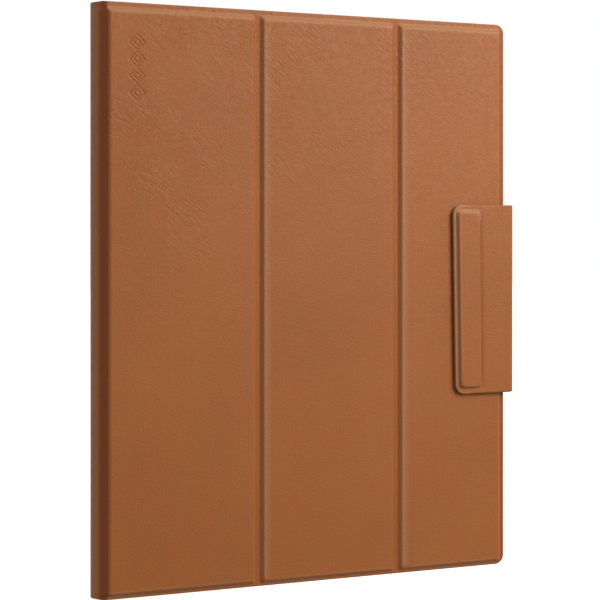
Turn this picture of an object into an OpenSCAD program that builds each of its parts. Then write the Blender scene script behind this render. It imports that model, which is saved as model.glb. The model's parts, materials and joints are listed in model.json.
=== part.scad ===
// An electronic-paper reader closed inside a three-panel folio cover with a magnetic strap.
// It stands on its bottom edge: the front cover faces -Y, the spine is at -X, the strap at +X.
// Sections are written in cover coordinates: u runs from the spine's outer face to the free edge,
// v from the back cover's outer face to the front, and z up from the bottom edge.

/* [Reader] */
// Width of the reader
reader_w = 180; // [150:1:220]
// Height of the reader
reader_h = 232; // [193:1:290]
// Corner radius of the reader
reader_r = 7; // [4:0.5:12]
// Side and end walls of the rear shell
wall_t = 1.3; // [1:0.1:2]
// Back wall of the rear shell
back_t = 0.9; // [0.7:0.1:2]
// Depth of the bay that holds the cells and the boards
bay_t = 2.5; // [2.4:0.1:5]
// Thickness of the metal frame between the bay and the display
frame_t = 0.7; // [0.6:0.1:1.2]
// Thickness of the pen sensor sheet
sensor_t = 0.3; // [0.2:0.05:0.6]
// Thickness of the electronic-paper panel
display_t = 0.8; // [0.5:0.05:1.2]
// Thickness of the front light guide
guide_t = 0.3; // [0.2:0.05:0.6]
// Thickness of the touch sheet
touch_t = 0.3; // [0.2:0.05:0.6]
// Thickness of the front glass
glass_t = 0.7; // [0.5:0.05:1.1]
// Border beside the picture area, on each side
bezel_side = 11.4; // [9:0.1:20]
// Border above the picture area
bezel_top = 9.2; // [8:0.1:20]
// Border below the picture area
bezel_bottom = 13.2; // [12:0.1:30]

/* [Inside the reader] */
// Width of the main board
board_w = 112; // [80:1:120]
// Height of the main board
board_h = 36; // [26:1:44]
// Thickness of both circuit boards
board_t = 0.8; // [0.5:0.1:1]
// Width of the lower board
lower_board_w = 44; // [30:1:50]
// Width of one battery cell
cell_w = 58; // [40:1:60]
// Height of one battery cell
cell_h = 125; // [60:1:130]
// Width of one loudspeaker
speaker_w = 30; // [15:1:36]
// Width of the power key
key_w = 12; // [8:0.5:16]
// Travel of the power key
key_travel = 0.3; // [0.1:0.05:0.3]

/* [Cover] */
// Room between the spine's inner face and the reader
spine_gap = 1.9; // [1.5:0.1:6]
// How far the cover reaches past the reader at the free edge
edge_margin = 4; // [2:0.5:10]
// How far the cover reaches past the reader at the top and the bottom
end_margin = 4; // [2:0.5:10]
// Air between the reader's glass and the front lining
screen_gap = 0.5; // [0.3:0.1:2]
// Radius of the cover's free corners
cover_r = 4; // [2:0.5:10]
// Leather thickness
leather_t = 0.8; // [0.5:0.1:1.4]
// Lining thickness
lining_t = 0.5; // [0.3:0.1:1]
// Board thickness in the back cover
back_board_t = 1.6; // [1.4:0.1:3]
// Board thickness in the front panels
front_board_t = 1.5; // [1.2:0.1:3]
// Board thickness in the spine
spine_board_t = 0.8; // [0.5:0.1:1.5]
// Flat pressed rim between the boards and the cover's edges
rim_w = 2.2; // [1.5:0.1:5]
// Outer radius of the two folds beside the spine
fold_r = 2.4; // [2.1:0.1:3.9]
// Flat stretch between a spine fold and the boards
fold_land = 0.8; // [0.5:0.1:4]
// Width of the middle front panel
panel_2_w = 62.5; // [40:0.5:75]
// Width of the front panel at the free edge
panel_3_w = 51; // [36:0.5:60]
// Width of the two grooves between the front panels
groove_w = 2.5; // [2:0.1:8]
// Width of the bevel round each raised panel
bevel_w = 1.2; // [0.6:0.1:2]

/* [Strap] */
// Height of the strap
strap_h = 83; // [50:1:110]
// Height of the strap's lower edge above the bottom
strap_z = 76.6; // [45:0.1:80]
// How far the strap's flap covers the front
strap_cover = 27.6; // [22:0.1:34]
// Thickness of the strap
strap_t = 1.6; // [1.2:0.1:2]
// How far the strap stands out past the free edge
strap_out = 4.2; // [3.9:0.1:8]
// Air between the flap and the front panel
strap_gap = 0.3; // [0.2:0.05:1]
// Bend radius of the strap, at the middle of its thickness
strap_bend = 3.2; // [2.6:0.1:3.3]
// Width of the raised magnet pad
pad_w = 12.4; // [8:0.1:14]
// Thickness of the strap's magnets
magnet_t = 1.2; // [0.8:0.1:2]

/* [Hidden] */
$fn = 48;
eps = 0.01;
clear = 0.1; // room round the pieces that drop into the rear shell

// Colours
leather_colour = [0.58, 0.37, 0.24];
lining_colour = [0.23, 0.21, 0.20];
board_colour = [0.72, 0.68, 0.60];
metal_colour = [0.75, 0.76, 0.78];
circuit_colour = [0.10, 0.35, 0.22];
chip_colour = [0.12, 0.12, 0.13];

// Levels through the closed cover, from the back cover's outer face
back_board_v = leather_t;
back_lining_v = back_board_v + back_board_t;
reader_v = back_lining_v + lining_t;
bay_v = reader_v + back_t;
frame_v = bay_v + bay_t;
sensor_v = frame_v + frame_t;
display_v = sensor_v + sensor_t;
guide_v = display_v + display_t;
touch_v = guide_v + guide_t;
glass_v = touch_v + touch_t;
reader_front = glass_v + glass_t;
front_in = reader_front + screen_gap;
front_board_v = front_in + lining_t;
base_v = front_board_v + leather_t;
panel_v = front_board_v + front_board_t + leather_t;
flap_in = panel_v + strap_gap;
flap_out = flap_in + strap_t;
total_t = flap_in + strap_t / 2 + magnet_t + leather_t;

// Places across the cover, from the spine's outer face
fold_t = leather_t + lining_t;
spine_t = leather_t + spine_board_t + lining_t;
reader_u = spine_t + spine_gap;
reader_u1 = reader_u + reader_w;
cover_w = reader_u1 + edge_margin;
board_edge = fold_r + fold_land;
panel_3_u1 = cover_w - rim_w;
panel_3_u = panel_3_u1 - panel_3_w;
panel_2_u1 = panel_3_u - groove_w;
panel_2_u = panel_2_u1 - panel_2_w;
panel_1_u1 = panel_2_u - groove_w;
panel_1_u = board_edge;
total_w = cover_w + strap_out;
mid_u = total_w / 2;
mid_v = total_t / 2;

// Heights
reader_z = end_margin;
reader_z1 = reader_z + reader_h;
cover_h = reader_z1 + end_margin;
strap_z1 = strap_z + strap_h;

// The reader's bay
bay_u = reader_u + wall_t;
bay_u1 = reader_u1 - wall_t;
bay_z = reader_z + wall_t;
bay_z1 = reader_z1 - wall_t;
bay_r = reader_r - wall_t;
bay_mid = (bay_u + bay_u1) / 2;
board_side_gap = 20;
board_top_gap = 5;
board_u1 = bay_u1 - board_side_gap;
board_u = board_u1 - board_w;
board_z1 = bay_z1 - board_top_gap;
board_z = board_z1 - board_h;
board_face = bay_v + board_t;
cell_gap = 3;
cell_air = 0.2;
cell_z1 = board_z - 4;
lower_board_h = 12;
lower_board_z = bay_z + 0.5;
chip_t = 1;
shield_w = 34;
shield_h = 24;
shield_sheet = 0.2;
shield_u = board_u + 40;
shield_z = board_z + 6;
processor_w = 14;
memory_w = 11;
power_chip_w = 8;
hall_w = 3;
hall_u = board_u1 - 4;
hall_z = board_z1 - 6;
ribbon_t = 0.2;
ribbon_air = 0.2;
sensor_ribbon_w = 20;
sensor_ribbon_u = board_u + 14;
sensor_ribbon_z = board_z + 5;
display_ribbon_w = 30;
lead_w = 8;
lead_offset = 12;

// The power key and its switch
key_u = board_u1 - 13;
key_v = bay_v + 1.25;
key_t = 1.7;
key_proud = 0.5;
key_slide = 0.08;
key_flange_w = key_w + 2;
key_flange_t = 2.1;
key_flange_h = 1;
key_air = 0.05;
switch_w = 6;
switch_h = 6;
switch_t = 1.2;

// The socket at the bottom, with the size that all such plugs share
usb_w = 8.94;
usb_t = 3.16;
usb_depth = 7.3;
usb_wall = 0.3;
usb_setback = 0.3;
tongue_w = 6.7;
tongue_t = 0.7;
tongue_h = 4.5;
mic_u = bay_mid + 16;
mic_r = 0.5;
speaker_h = 9;
speaker_inset = 8;
speaker_rise = 1;
slot_count = 6;
slot_w = 2.4;
slot_t = 1;
window_w = 50;
window_u = bay_u + 20;

// Posts, screws and docking magnets
post_inset = 4.5;
post_r = 1.6;
post_floor = 0.6;
screw_r = 0.7;
screw_head_r = 1.3;
screw_head_t = 0.5;
screw_play = 0.05;
magnet_w = 6;
magnet_h = 24;
magnet_inset = 6.6;
magnet_gap = 4; // from the strap's tail to the bars above and below it
dock_t = 1.2;

// The picture area and what lies under and over it
active_u = reader_u + bezel_side;
active_u1 = reader_u1 - bezel_side;
active_z = reader_z + bezel_bottom;
active_z1 = reader_z1 - bezel_top;
sensor_lap = 3;
display_lap = 2;
display_ledge = 4;
guide_lap = 1.5;
bar_h = 1.5;
ring_side = 5.5;
ring_top = 4.5;
ring_bottom = 5.5;

// Leather edges and linings
turn_in = 1;
lining_inset = 1.5;
board_inset = bevel_w + 0.4;

// The strap
root_v = back_lining_v - leather_t / 2;
root_bend = 3;
strap_mid_u = cover_w + strap_out - strap_t / 2;
root_u = strap_mid_u - root_bend;
side_v = root_v + root_bend;
flap_u1 = strap_mid_u - strap_bend;
side_v1 = flap_in + strap_t / 2 - strap_bend;
flap_u = cover_w - strap_cover;
flap_r = 4.5;
tail_w = 18;
pad_inset = 2.1;
pad_u = flap_u + pad_inset;
pad_end = 2.1;
pad_bevel = 1;
pad_z = strap_z + pad_end;
pad_z1 = strap_z1 - pad_end;
strap_half = strap_t / 2;
magnet_margin = 1.2;
strap_magnet_count = 3;
keeper_t = 0.8;
keeper_lap = 1;
wake_r = 4;
wake_t = 1;

// Box between two levels, given in cover coordinates
module block(u0, u1, v0, v1, z0, z1) {
    translate([u0 - mid_u, mid_v - v1, z0]) cube([u1 - u0, v1 - v0, z1 - z0]);
}

// One corner's waste, for rounding a rectangle's corner at [u, z]
module corner_waste(u, z, to_left, to_down, r) {
    translate([u, z]) mirror([to_left, 0]) mirror([0, to_down]) difference() {
        translate([-eps, -eps]) square(r + eps);
        translate([r, r]) circle(r);
    }
}

// Outline with its own radius on the left and the right corners; 0 leaves them square
module outline(u0, u1, z0, z1, r_left, r_right) {
    difference() {
        translate([u0, z0]) square([u1 - u0, z1 - z0]);
        if (r_left > 0) {
            corner_waste(u0, z0, 0, 0, r_left);
            corner_waste(u0, z1, 0, 1, r_left);
        }
        if (r_right > 0) {
            corner_waste(u1, z0, 1, 0, r_right);
            corner_waste(u1, z1, 1, 1, r_right);
        }
    }
}

// Flat piece of an outline between two levels
module sheet(u0, u1, v0, v1, z0, z1, r_left = 0, r_right = 0) {
    translate([-mid_u, mid_v - v0, 0]) rotate([90, 0, 0])
        linear_extrude(v1 - v0) outline(u0, u1, z0, z1, r_left, r_right);
}

// Raised field with a bevel on all four sides
module mound(u0, u1, v0, v1, z0, z1, bevel) {
    intersection() {
        translate([-mid_u, mid_v, z0]) mirror([0, 1, 0]) linear_extrude(z1 - z0)
            polygon([[u0, v0], [u0 + bevel, v1], [u1 - bevel, v1], [u1, v0]]);
        translate([u0 - mid_u, mid_v, 0]) rotate([90, 0, 90]) linear_extrude(u1 - u0)
            polygon([[-v0, z0], [-v1, z0 + bevel], [-v1, z1 - bevel], [-v0, z1]]);
    }
}

// Quarter of a tube about an upright axis, from the given direction
module bend(u, v, r_mid, thick, start, z0, z1) {
    translate([u - mid_u, mid_v - v, 0]) rotate([0, 0, start]) rotate_extrude(angle = 90)
        translate([r_mid - thick / 2, z0]) square([thick, z1 - z0]);
}

// Upright bar with round ends
module pill(u, v, w, t, z0, z1) {
    translate([u - mid_u, mid_v - v, z0]) union() {
        translate([t / 2 - w / 2, -t / 2, 0]) cube([w - t, t, z1 - z0]);
        for (side = [-1, 1]) translate([side * (w - t) / 2, 0, 0]) cylinder(h = z1 - z0, d = t);
    }
}

// Round pin across the cover's thickness
module stud(u, z, r, v0, v1) {
    translate([u - mid_u, mid_v - v0, z]) rotate([90, 0, 0]) cylinder(h = v1 - v0, r = r);
}

// The places of the screws that hold the frame to the rear shell
module at_posts() {
    for (u = [bay_u + post_inset, bay_u1 - post_inset])
        for (z = [bay_z + post_inset, reader_z + reader_h / 3,
                  reader_z + reader_h * 2 / 3, bay_z1 - post_inset])
            place(u, z) children();
}

// Moves a piece drawn at u = 0, z = 0 to its place
module place(u, z) {
    translate([u, 0, z]) children();
}

// The bars that hold the reader in the cover, at one depth
module dock_bars(v0, v1) {
    for (u = [bay_u + magnet_inset, bay_u1 - magnet_inset - magnet_w])
        for (z = [strap_z - magnet_gap - magnet_h, strap_z1 + magnet_gap])
            block(u, u + magnet_w, v0, v1, z, z + magnet_h);
}

// ---- Back cover ----

module back_leather() color(leather_colour) {
    difference() {
        sheet(board_edge, cover_w, 0, back_lining_v, 0, cover_h, 0, cover_r);
        sheet(board_edge + turn_in, cover_w - turn_in, back_board_v, back_lining_v + eps,
              turn_in, cover_h - turn_in, 0, cover_r - turn_in);
        block(cover_w - tail_w, cover_w + eps, root_v - leather_t / 2, back_lining_v + eps,
              strap_z, strap_z1);
    }
}

module back_board() color(board_colour) {
    difference() {
        sheet(board_edge + turn_in, cover_w - turn_in, back_board_v, back_lining_v,
              turn_in, cover_h - turn_in, 0, cover_r - turn_in);
        block(cover_w - tail_w, cover_w, root_v - leather_t / 2, back_lining_v + eps,
              strap_z, strap_z1);
        dock_bars(back_lining_v - dock_t, back_lining_v + eps);
    }
}

module back_lining() color(lining_colour) {
    sheet(board_edge, cover_w - lining_inset, back_lining_v, reader_v,
          lining_inset, cover_h - lining_inset, 0, cover_r - lining_inset);
}

module dock_magnets() color(metal_colour) {
    dock_bars(back_lining_v - dock_t, back_lining_v);
}

module strap_tail() color(leather_colour) {
    block(cover_w - tail_w, cover_w, root_v - leather_t / 2, back_lining_v, strap_z, strap_z1);
}

// ---- Reader ----

module screw_post() {
    difference() {
        stud(0, 0, post_r, bay_v - eps, frame_v);
        stud(0, 0, screw_r + screw_play, bay_v + post_floor, frame_v + eps);
    }
}

module speaker_slots(u) {
    pitch = speaker_w / slot_count;
    for (i = [0:slot_count - 1])
        block(u + (i + 0.5) * pitch - slot_w / 2, u + (i + 0.5) * pitch + slot_w / 2,
              key_v - slot_t / 2, key_v + slot_t / 2, reader_z - eps, bay_z + eps);
}

module rear_shell() color("dimgray") {
    difference() {
        sheet(reader_u, reader_u1, reader_v, reader_front, reader_z, reader_z1, reader_r, reader_r);
        sheet(bay_u, bay_u1, bay_v, reader_front + eps, bay_z, bay_z1, bay_r, bay_r);
        pill(key_u, key_v, key_w + 2 * key_slide, key_t + 2 * key_slide, bay_z1 - eps, reader_z1 + eps);
        pill(bay_mid, bay_v + usb_t / 2, usb_w, usb_t, reader_z - eps, bay_z + eps);
        block(window_u, window_u + window_w, bay_v, glass_v, bay_z1 - eps, reader_z1 + eps);
        translate([mic_u - mid_u, mid_v - key_v, reader_z - eps]) cylinder(h = wall_t + 2 * eps, r = mic_r);
        speaker_slots(bay_u + speaker_inset);
        speaker_slots(bay_u1 - speaker_inset - speaker_w);
    }
    at_posts() screw_post();
}

module mid_frame() color(metal_colour) {
    difference() {
        sheet(bay_u + clear, bay_u1 - clear, frame_v, sensor_v, bay_z + clear, bay_z1 - clear,
              bay_r - clear, bay_r - clear);
        at_posts() stud(0, 0, screw_r + screw_play, frame_v - eps, sensor_v + eps);
        at_posts() stud(0, 0, screw_head_r + screw_play, sensor_v - screw_head_t, sensor_v + eps);
        block(bay_mid - usb_w / 2 - clear, bay_mid + usb_w / 2 + clear, frame_v - eps, sensor_v + eps,
              bay_z, reader_z + usb_setback + usb_depth + clear);
        block(sensor_ribbon_u - ribbon_air, sensor_ribbon_u + sensor_ribbon_w + ribbon_air,
              frame_v - eps, sensor_v + eps,
              sensor_ribbon_z - ribbon_air, sensor_ribbon_z + ribbon_t + ribbon_air);
        block(bay_mid - display_ribbon_w / 2 - ribbon_air, bay_mid + display_ribbon_w / 2 + ribbon_air,
              frame_v - eps, sensor_v + eps,
              display_ribbon_z() - ribbon_air, display_ribbon_z() + ribbon_t + ribbon_air);
    }
}

module cell(u) {
    block(u, u + cell_w, bay_v, frame_v - cell_air, cell_z1 - cell_h, cell_z1);
}

module battery_left() color("slategray") cell(bay_mid - cell_gap / 2 - cell_w);
module battery_right() color("slategray") cell(bay_mid + cell_gap / 2);

module battery_lead() color("darkorange") {
    for (side = [-1, 1]) {
        u = bay_mid + side * lead_offset;
        block(u - lead_w / 2, u + lead_w / 2, board_face, board_face + ribbon_t, cell_z1, board_z + 3);
    }
}

module main_board() color(circuit_colour) {
    block(board_u, board_u1, bay_v, board_face, board_z, board_z1);
}

module processor() color(chip_colour) {
    block(shield_u + 3, shield_u + 3 + processor_w, board_face, board_face + chip_t,
          shield_z + 5, shield_z + 5 + processor_w);
}

module memory_chip() color(chip_colour) {
    block(shield_u + 20, shield_u + 20 + memory_w, board_face, board_face + chip_t,
          shield_z + 6, shield_z + 6 + memory_w);
}

module power_chip() color(chip_colour) {
    block(shield_u + shield_w + 6, shield_u + shield_w + 6 + power_chip_w, board_face,
          board_face + chip_t, shield_z + 4, shield_z + 4 + power_chip_w);
}

module board_shield() color("silver") {
    can_v = board_face + chip_t + 0.2 + shield_sheet;
    difference() {
        block(shield_u, shield_u + shield_w, board_face, can_v, shield_z, shield_z + shield_h);
        block(shield_u + shield_sheet, shield_u + shield_w - shield_sheet, board_face - eps,
              can_v - shield_sheet, shield_z + shield_sheet, shield_z + shield_h - shield_sheet);
    }
}

module hall_sensor() color(chip_colour) {
    block(hall_u - hall_w / 2, hall_u + hall_w / 2, board_face, board_face + chip_t,
          hall_z - hall_w / 2, hall_z + hall_w / 2);
}

module key_switch() color("silver") {
    switch_z1 = bay_z1 - key_air - key_flange_h - key_travel - key_air;
    block(key_u - switch_w / 2, key_u + switch_w / 2, board_face, board_face + switch_t,
          switch_z1 - switch_h, switch_z1);
}

module lower_board() color(circuit_colour) {
    difference() {
        block(bay_mid - lower_board_w / 2, bay_mid + lower_board_w / 2, bay_v, board_face,
              lower_board_z, lower_board_z + lower_board_h);
        block(bay_mid - usb_w / 2 - clear, bay_mid + usb_w / 2 + clear, bay_v - eps, board_face + eps,
              bay_z, reader_z + usb_setback + usb_depth);
    }
}

module usb_socket() color("silver") {
    mouth = reader_z + usb_setback;
    difference() {
        pill(bay_mid, bay_v + usb_t / 2, usb_w, usb_t, mouth, mouth + usb_depth);
        pill(bay_mid, bay_v + usb_t / 2, usb_w - 2 * usb_wall, usb_t - 2 * usb_wall,
             mouth - eps, mouth + usb_depth - 1);
    }
    block(bay_mid - tongue_w / 2, bay_mid + tongue_w / 2, bay_v + usb_t / 2 - tongue_t / 2,
          bay_v + usb_t / 2 + tongue_t / 2, mouth + usb_depth - 1 - tongue_h, mouth + usb_depth - 0.5);
}

module microphone() color("gold") {
    block(mic_u - 2, mic_u + 2, board_face, board_face + chip_t, lower_board_z, lower_board_z + 3);
}

module speaker(u) {
    block(u, u + speaker_w, bay_v, frame_v - cell_air, bay_z + speaker_rise,
          bay_z + speaker_rise + speaker_h);
}

module speaker_left() color(chip_colour) speaker(bay_u + speaker_inset);
module speaker_right() color(chip_colour) speaker(bay_u1 - speaker_inset - speaker_w);

module antenna_window() color("gray") {
    block(window_u, window_u + window_w, bay_v, glass_v, bay_z1, reader_z1);
}

module reader_magnets() color(metal_colour) {
    dock_bars(bay_v, bay_v + dock_t);
}

module case_screws() color("silver") {
    at_posts() union() {
        stud(0, 0, screw_head_r, sensor_v - screw_head_t, sensor_v);
        stud(0, 0, screw_r, bay_v + post_floor + 0.2, sensor_v - screw_head_t);
    }
}

module pen_sensor() color("darkgoldenrod") {
    block(active_u - sensor_lap, active_u1 + sensor_lap, sensor_v, display_v,
          active_z - display_lap, active_z1 + sensor_lap);
}

module sensor_ribbon() color("darkorange") {
    block(sensor_ribbon_u, sensor_ribbon_u + sensor_ribbon_w, board_face, sensor_v,
          sensor_ribbon_z, sensor_ribbon_z + ribbon_t);
}

module display_panel() color("gainsboro") {
    block(active_u - display_lap, active_u1 + display_lap, display_v, guide_v,
          active_z - display_ledge, active_z1 + display_lap);
}

function display_ribbon_z() = active_z - display_ledge - 3 * ribbon_t;

module display_ribbon() color("darkorange") {
    u0 = bay_mid - display_ribbon_w / 2;
    u1 = bay_mid + display_ribbon_w / 2;
    z0 = display_ribbon_z();
    block(u0, u1, board_face, display_v + ribbon_t, z0, z0 + ribbon_t);
    block(u0, u1, display_v, display_v + ribbon_t, z0, active_z - display_ledge);
}

module light_guide() color("lightcyan") {
    block(active_u - guide_lap, active_u1 + guide_lap, guide_v, touch_v,
          active_z - guide_lap, active_z1 + guide_lap);
}

module light_bar() color("ivory") {
    block(active_u - guide_lap, active_u1 + guide_lap, guide_v, glass_v,
          active_z - guide_lap - bar_h, active_z - guide_lap);
}

module touch_panel() color("aliceblue") {
    block(active_u - guide_lap, active_u1 + guide_lap, touch_v, glass_v,
          active_z - guide_lap, active_z1 + guide_lap);
}

module glass_frame() color("black") {
    difference() {
        sheet(bay_u + clear, bay_u1 - clear, sensor_v, glass_v, bay_z + clear, bay_z1 - clear,
              bay_r - clear, bay_r - clear);
        block(active_u - ring_side, active_u1 + ring_side, sensor_v - eps, glass_v + eps,
              active_z - ring_bottom, active_z1 + ring_top);
    }
}

module front_glass() color("whitesmoke") {
    sheet(bay_u + clear, bay_u1 - clear, glass_v, reader_front, bay_z + clear, bay_z1 - clear,
          bay_r - clear, bay_r - clear);
}

module power_key() color("gray") {
    pill(key_u, key_v, key_w, key_t, bay_z1 - key_air - eps, reader_z1 + key_proud);
    pill(key_u, key_v, key_flange_w, key_flange_t, bay_z1 - key_air - key_flange_h, bay_z1 - key_air);
}

// ---- Spine and folds ----

spine_v1 = base_v - fold_r;

module spine_leather() color(leather_colour) {
    difference() {
        block(0, leather_t + spine_board_t, fold_r, spine_v1, 0, cover_h);
        block(leather_t, leather_t + spine_board_t + eps, fold_r - eps, spine_v1 + eps,
              turn_in, cover_h - turn_in);
    }
}

module spine_board() color(board_colour) {
    block(leather_t, leather_t + spine_board_t, fold_r, spine_v1, turn_in, cover_h - turn_in);
}

module spine_lining() color(lining_colour) {
    block(leather_t + spine_board_t, spine_t, fold_r, spine_v1, lining_inset, cover_h - lining_inset);
}

module back_fold() color(leather_colour) {
    bend(fold_r, fold_r, fold_r - fold_t / 2, fold_t, 90, 0, cover_h);
    block(fold_r, board_edge, 0, fold_t, 0, cover_h);
}

module front_fold() color(leather_colour) {
    bend(fold_r, base_v - fold_r, fold_r - fold_t / 2, fold_t, 180, 0, cover_h);
    block(fold_r, panel_1_u, base_v - fold_t, base_v, 0, cover_h);
}

module groove_fold_1() color(leather_colour) {
    block(panel_1_u1, panel_2_u, front_in, base_v, 0, cover_h);
}

module groove_fold_2() color(leather_colour) {
    block(panel_2_u1, panel_3_u, front_in, base_v, 0, cover_h);
}

// ---- Front panels ----

module panel_lining(u0, u1, r = 0) {
    sheet(u0, u1, front_in, front_board_v, lining_inset, cover_h - lining_inset, 0, r);
}

module panel_board(u0, u1) {
    block(u0 + board_inset, u1 - board_inset, front_board_v, front_board_v + front_board_t,
          rim_w + board_inset, cover_h - rim_w - board_inset);
}

// edge is where the leather's flat base ends; u1 is where the raised field ends
module panel_leather(u0, u1, edge, r = 0) {
    lining_edge = edge > u1 ? edge - lining_inset : u1 + eps;
    difference() {
        union() {
            sheet(u0, edge, front_in, base_v, 0, cover_h, 0, r);
            mound(u0, u1, base_v - eps, panel_v, rim_w, cover_h - rim_w, bevel_w);
        }
        sheet(u0 - eps, lining_edge, front_in - eps, front_board_v, lining_inset,
              cover_h - lining_inset, 0, edge > u1 ? r - lining_inset : 0);
        panel_board(u0, u1);
    }
}

module panel_1_leather() color(leather_colour) panel_leather(panel_1_u, panel_1_u1, panel_1_u1);
module panel_1_board() color(board_colour) panel_board(panel_1_u, panel_1_u1);
module panel_1_lining() color(lining_colour) panel_lining(panel_1_u, panel_1_u1);
module panel_2_leather() color(leather_colour) panel_leather(panel_2_u, panel_2_u1, panel_2_u1);
module panel_2_board() color(board_colour) panel_board(panel_2_u, panel_2_u1);
module panel_2_lining() color(lining_colour) panel_lining(panel_2_u, panel_2_u1);

module panel_3_leather() color(leather_colour) {
    panel_leather(panel_3_u, panel_3_u1, cover_w, cover_r);
}

module panel_3_board() color(board_colour) {
    difference() {
        panel_board(panel_3_u, panel_3_u1);
        keeper(front_board_v + front_board_t + eps);
        stud(hall_u, hall_z, wake_r, front_board_v - eps, front_board_v + wake_t);
    }
}

module panel_3_lining() color(lining_colour) {
    panel_lining(panel_3_u, cover_w - lining_inset, cover_r - lining_inset);
}

module keeper(v1) {
    block(pad_u - keeper_lap, pad_u + pad_w + keeper_lap, front_board_v + front_board_t - keeper_t,
          v1, pad_z, pad_z1);
}

module keeper_plate() color(metal_colour) keeper(front_board_v + front_board_t);

module wake_magnet() color(metal_colour) {
    stud(hall_u, hall_z, wake_r, front_board_v, front_board_v + wake_t);
}

// ---- Strap ----

module strap_root_fold() color(leather_colour) {
    bend(root_u, side_v, root_bend, strap_t, 0, strap_z, strap_z1);
    block(cover_w, root_u + eps, root_v - leather_t / 2, root_v + leather_t / 2, strap_z, strap_z1);
}

module strap_side() color(leather_colour) {
    block(strap_mid_u - strap_t / 2, strap_mid_u + strap_t / 2, side_v, side_v1, strap_z, strap_z1);
}

module strap_front_fold() color(leather_colour) {
    bend(flap_u1, side_v1, strap_bend, strap_t, 270, strap_z, strap_z1);
}

module strap_magnet_row(v1) {
    room = pad_z1 - pad_z - 2 * magnet_margin;
    pitch = room / strap_magnet_count;
    for (i = [0:strap_magnet_count - 1])
        block(pad_u + magnet_margin, pad_u + pad_w - magnet_margin, flap_in + strap_half, v1,
              pad_z + magnet_margin + i * pitch + 0.5, pad_z + magnet_margin + (i + 1) * pitch - 0.5);
}

module strap_lining() color(lining_colour) {
    sheet(flap_u, flap_u1, flap_in, flap_in + strap_half, strap_z, strap_z1, flap_r, 0);
}

module strap_leather() color(leather_colour) {
    difference() {
        union() {
            sheet(flap_u, flap_u1, flap_in + strap_half, flap_out, strap_z, strap_z1, flap_r, 0);
            mound(pad_u, pad_u + pad_w, flap_out - eps, total_t, pad_z, pad_z1, pad_bevel);
        }
        strap_magnet_row(flap_in + strap_half + magnet_t);
    }
}

module strap_magnets() color(metal_colour) strap_magnet_row(flap_in + strap_half + magnet_t);

back_leather();
back_board();
back_lining();
dock_magnets();
strap_tail();
rear_shell();
mid_frame();
battery_left();
battery_right();
battery_lead();
main_board();
processor();
memory_chip();
power_chip();
board_shield();
hall_sensor();
key_switch();
lower_board();
usb_socket();
microphone();
speaker_left();
speaker_right();
antenna_window();
reader_magnets();
case_screws();
pen_sensor();
sensor_ribbon();
display_panel();
display_ribbon();
light_guide();
light_bar();
touch_panel();
glass_frame();
front_glass();
power_key();
spine_leather();
spine_board();
spine_lining();
back_fold();
front_fold();
groove_fold_1();
groove_fold_2();
panel_1_leather();
panel_1_board();
panel_1_lining();
panel_2_leather();
panel_2_board();
panel_2_lining();
panel_3_leather();
panel_3_board();
panel_3_lining();
keeper_plate();
wake_magnet();
strap_root_fold();
strap_side();
strap_front_fold();
strap_leather();
strap_lining();
strap_magnets();
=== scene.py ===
# %% [markdown]
# # A reader in its leather folio
# The object is an electronic-paper reader that is shut inside a folio cover, standing on its
# bottom edge. Almost all that shows is one skin of brown leather, pressed over stiff boards, so this
# lesson is about thin pressed leather: how it rises over a board, how it bends at a fold, and how its
# grain catches the light. The exact frame from CAD gives every size, and Blender gives the looks.

# %% Load the frame
import json
import math

import bpy
import numpy as np
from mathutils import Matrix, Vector


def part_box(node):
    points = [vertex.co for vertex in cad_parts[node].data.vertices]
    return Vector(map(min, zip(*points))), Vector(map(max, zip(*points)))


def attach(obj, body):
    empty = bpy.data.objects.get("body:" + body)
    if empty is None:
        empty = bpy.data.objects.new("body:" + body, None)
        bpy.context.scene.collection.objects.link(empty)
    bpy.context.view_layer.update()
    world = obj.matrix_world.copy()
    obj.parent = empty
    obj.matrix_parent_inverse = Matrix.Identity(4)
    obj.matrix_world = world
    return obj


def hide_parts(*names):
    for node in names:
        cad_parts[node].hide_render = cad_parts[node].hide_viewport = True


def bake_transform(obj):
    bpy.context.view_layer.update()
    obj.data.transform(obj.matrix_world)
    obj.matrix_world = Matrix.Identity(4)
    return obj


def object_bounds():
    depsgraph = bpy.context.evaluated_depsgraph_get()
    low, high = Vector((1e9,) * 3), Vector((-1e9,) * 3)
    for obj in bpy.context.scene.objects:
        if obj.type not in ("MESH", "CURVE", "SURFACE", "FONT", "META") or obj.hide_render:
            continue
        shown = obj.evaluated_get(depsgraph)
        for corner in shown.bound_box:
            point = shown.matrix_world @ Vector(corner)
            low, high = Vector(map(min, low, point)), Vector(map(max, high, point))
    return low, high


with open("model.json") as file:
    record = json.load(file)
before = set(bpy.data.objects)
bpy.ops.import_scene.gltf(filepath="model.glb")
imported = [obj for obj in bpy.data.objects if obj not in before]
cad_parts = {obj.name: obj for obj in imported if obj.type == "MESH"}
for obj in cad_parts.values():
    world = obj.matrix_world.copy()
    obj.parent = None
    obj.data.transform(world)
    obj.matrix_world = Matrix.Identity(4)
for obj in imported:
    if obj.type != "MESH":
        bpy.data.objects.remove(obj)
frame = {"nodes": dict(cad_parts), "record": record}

cad_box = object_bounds()

# %% [markdown]
# ## Cover coordinates
# A folio maker measures across the cover (u, from the spine's outer face), through it (v, from the
# back's outer face to the front) and up it (z), in millimetres. Two small helpers turn these into the
# frame's metres and back, so the rest of the script can speak in the maker's millimetres.

# %% Cover coordinates
LEFT, BACK = cad_box[0].x, cad_box[1].y
MM = 0.001


def spot(u, v, z):
    """Points of the frame, in metres, from cover coordinates in millimetres."""
    return np.stack(np.broadcast_arrays(LEFT + u * MM, BACK - v * MM, z * MM), axis=-1)


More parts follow.
